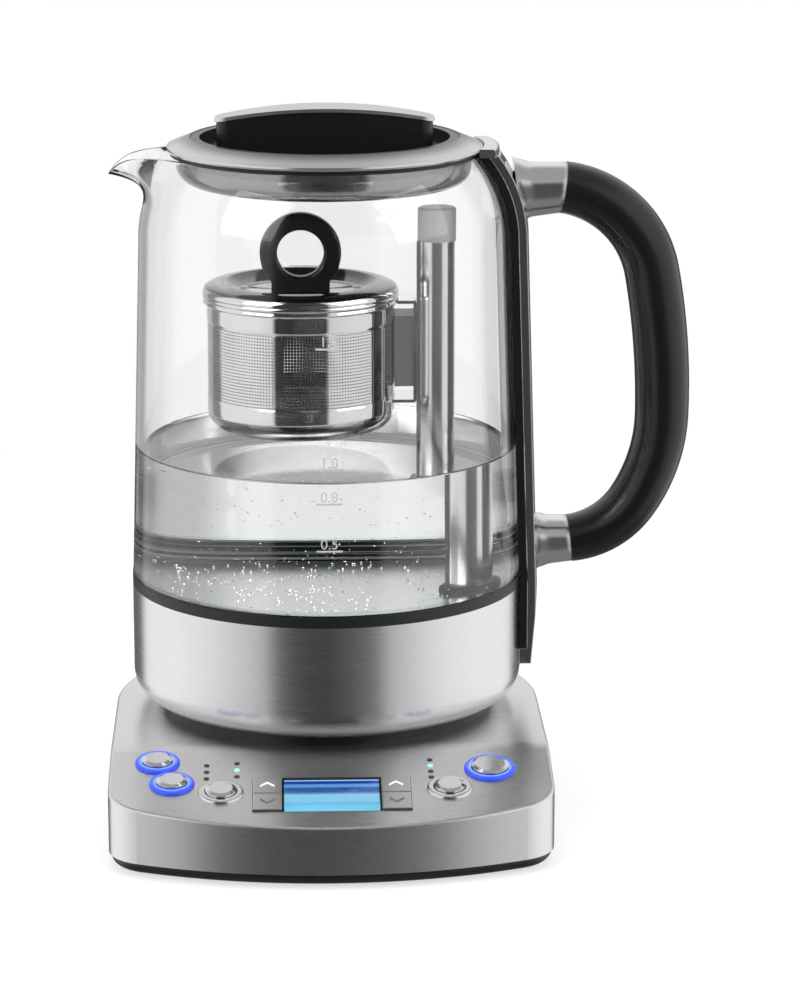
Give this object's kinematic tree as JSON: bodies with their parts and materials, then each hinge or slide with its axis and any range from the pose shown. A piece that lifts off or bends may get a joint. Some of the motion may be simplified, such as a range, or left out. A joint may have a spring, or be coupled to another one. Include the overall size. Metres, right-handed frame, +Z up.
{
  "type": "automatic tea maker",
  "caption": "Glass jug with a steel heater band on a powered base, with a motor-lifted perforated tea basket on a post, a lift-off lid, a D-shaped handle and a sloping control panel.",
  "frame": {"origin": "the jug's axis at table height, in the middle of the base's ring foot", "axes": "+Z up, the control panel faces -Y, the spout points to -X and the handle to +X"},
  "size_m": [0.2199, 0.2078, 0.2644],
  "materials": {
    "brushed_steel": "satin brushed",
    "polished_steel": "mirror polished",
    "spine_chrome": "polished",
    "heater_steel": "satin",
    "black_plastic": "smooth satin",
    "grip_rubber": "soft satin",
    "silicone": "matte",
    "clear_glass": "clear",
    "display_glass": "lit blue",
    "display_backing": "plain",
    "halo_blue": "lit translucent",
    "chrome_trim": "satin chrome",
    "key_silver": "satin silver",
    "indicator": "translucent",
    "circuit_board": "solder mask",
    "contact_brass": "satin",
    "screw_steel": "zinc plated",
    "motor_steel": "drawn",
    "magnet": "plated",
    "cap_grey": "gloss"
  },
  "bodies": {
    "base": {"base_cover": "brushed_steel", "base_tray": "black_plastic", "base_feet": "silicone", "base_screws": "screw_steel", "base_connector": "black_plastic", "connector_contacts": "contact_brass", "control_board": "circuit_board", "panel_switches": "black_plastic", "panel_carrier": "black_plastic", "power_board": "circuit_board", "power_relay": "black_plastic", "lcd_module": "display_backing", "lcd_window": "display_glass", "tea_leds": "indicator", "strength_leds": "indicator", "halo_rings": "halo_blue", "button_bezels": "chrome_trim"},
    "shutter": {"connector_shutter": "black_plastic"},
    "jug": {"glass_body": "clear_glass", "glass_seal": "silicone", "jug_band": "brushed_steel", "heater_plate": "heater_steel", "heating_element": "heater_steel", "jug_foot": "black_plastic", "jug_connector": "black_plastic", "jug_contact_pin": "contact_brass", "jug_thermostat": "black_plastic", "temperature_sensor": "screw_steel", "guide_post": "polished_steel", "post_cap": "cap_grey", "post_seal": "silicone", "lift_motor": "motor_steel", "spine": "spine_chrome", "spine_liner": "black_plastic", "spine_cap": "brushed_steel", "handle_upper_bracket": "polished_steel", "handle_lower_bracket": "polished_steel", "handle_grip": "grip_rubber"},
    "lead_screw": {"lead_screw": "screw_steel"},
    "carriage": {"magnet_carriage": "magnet"},
    "lid": {"lid_ring": "brushed_steel", "lid_dish": "black_plastic", "lid_grip": "black_plastic", "lid_grip_trim": "brushed_steel", "lid_skirt": "polished_steel", "lid_seal": "silicone"},
    "basket": {"basket_cup": "polished_steel", "basket_bracket": "polished_steel", "basket_magnet": "magnet"},
    "basket_lid": {"basket_lid_plate": "polished_steel", "basket_lid_ring": "black_plastic"},
    "button_auto_start": {"button_auto_start": "chrome_trim"},
    "button_keep_warm": {"button_keep_warm": "chrome_trim"},
    "button_tea_type": {"button_tea_type": "chrome_trim"},
    "button_strength": {"button_strength": "chrome_trim"},
    "button_hot_water": {"button_hot_water": "chrome_trim"},
    "key_temp_up": {"key_temp_up": "key_silver"},
    "key_temp_down": {"key_temp_down": "key_silver"},
    "key_time_up": {"key_time_up": "key_silver"},
    "key_time_down": {"key_time_down": "key_silver"}
  },
  "joints": [
    {"name": "jug_turn", "type": "hinge", "parent": "base", "child": "shutter", "pos_m": [0, 0, 0.0345], "axis": [0, 0, 1], "continuous": true},
    {"name": "jug_lift", "type": "slide", "parent": "shutter", "child": "jug", "axis": [0, 0, 1], "range_m": [0, 0.06]},
    {"name": "lid_lift", "type": "slide", "parent": "jug", "child": "lid", "axis": [0, 0, 1], "range_m": [0, 0.05]},
    {"name": "basket_ride", "type": "slide", "parent": "jug", "child": "basket", "axis": [0, 0, 1], "range_m": [-0.058, 0]},
    {"name": "carriage_ride", "type": "slide", "parent": "jug", "child": "carriage", "axis": [0, 0, 1], "range_m": [-0.059, 0.0005]},
    {"name": "screw_turn", "type": "hinge", "parent": "jug", "child": "lead_screw", "pos_m": [0.0421, 0, 0.07], "axis": [0, 0, 1], "range_deg": [-1760, 10]},
    {"name": "basket_lid_lift", "type": "slide", "parent": "basket", "child": "basket_lid", "axis": [0, 0, 1], "range_m": [0, 0.01]},
    {"name": "auto_start_press", "type": "slide", "parent": "base", "child": "button_auto_start", "axis": [0, -0.1822, 0.9833], "range_m": [-0.001, 0], "stiffness_N_per_m": 1000},
    {"name": "keep_warm_press", "type": "slide", "parent": "base", "child": "button_keep_warm", "axis": [0, -0.1822, 0.9833], "range_m": [-0.001, 0], "stiffness_N_per_m": 1000},
    {"name": "tea_type_press", "type": "slide", "parent": "base", "child": "button_tea_type", "axis": [0, -0.1822, 0.9833], "range_m": [-0.001, 0], "stiffness_N_per_m": 1000},
    {"name": "strength_press", "type": "slide", "parent": "base", "child": "button_strength", "axis": [0, -0.1822, 0.9833], "range_m": [-0.001, 0], "stiffness_N_per_m": 1000},
    {"name": "hot_water_press", "type": "slide", "parent": "base", "child": "button_hot_water", "axis": [0, -0.1822, 0.9833], "range_m": [-0.001, 0], "stiffness_N_per_m": 1000},
    {"name": "temp_up_press", "type": "slide", "parent": "base", "child": "key_temp_up", "axis": [0, -0.1822, 0.9833], "range_m": [-0.0006, 0], "stiffness_N_per_m": 1000},
    {"name": "temp_down_press", "type": "slide", "parent": "base", "child": "key_temp_down", "axis": [0, -0.1822, 0.9833], "range_m": [-0.0006, 0], "stiffness_N_per_m": 1000},
    {"name": "time_up_press", "type": "slide", "parent": "base", "child": "key_time_up", "axis": [0, -0.1822, 0.9833], "range_m": [-0.0006, 0], "stiffness_N_per_m": 1000},
    {"name": "time_down_press", "type": "slide", "parent": "base", "child": "key_time_down", "axis": [0, -0.1822, 0.9833], "range_m": [-0.0006, 0], "stiffness_N_per_m": 1000}
  ],
  "couplings": [
    {"joint": "carriage_ride", "follows": "basket_ride", "ratio": 1},
    {"joint": "screw_turn", "follows": "basket_ride", "rad_per_m": 523.6}
  ]
}
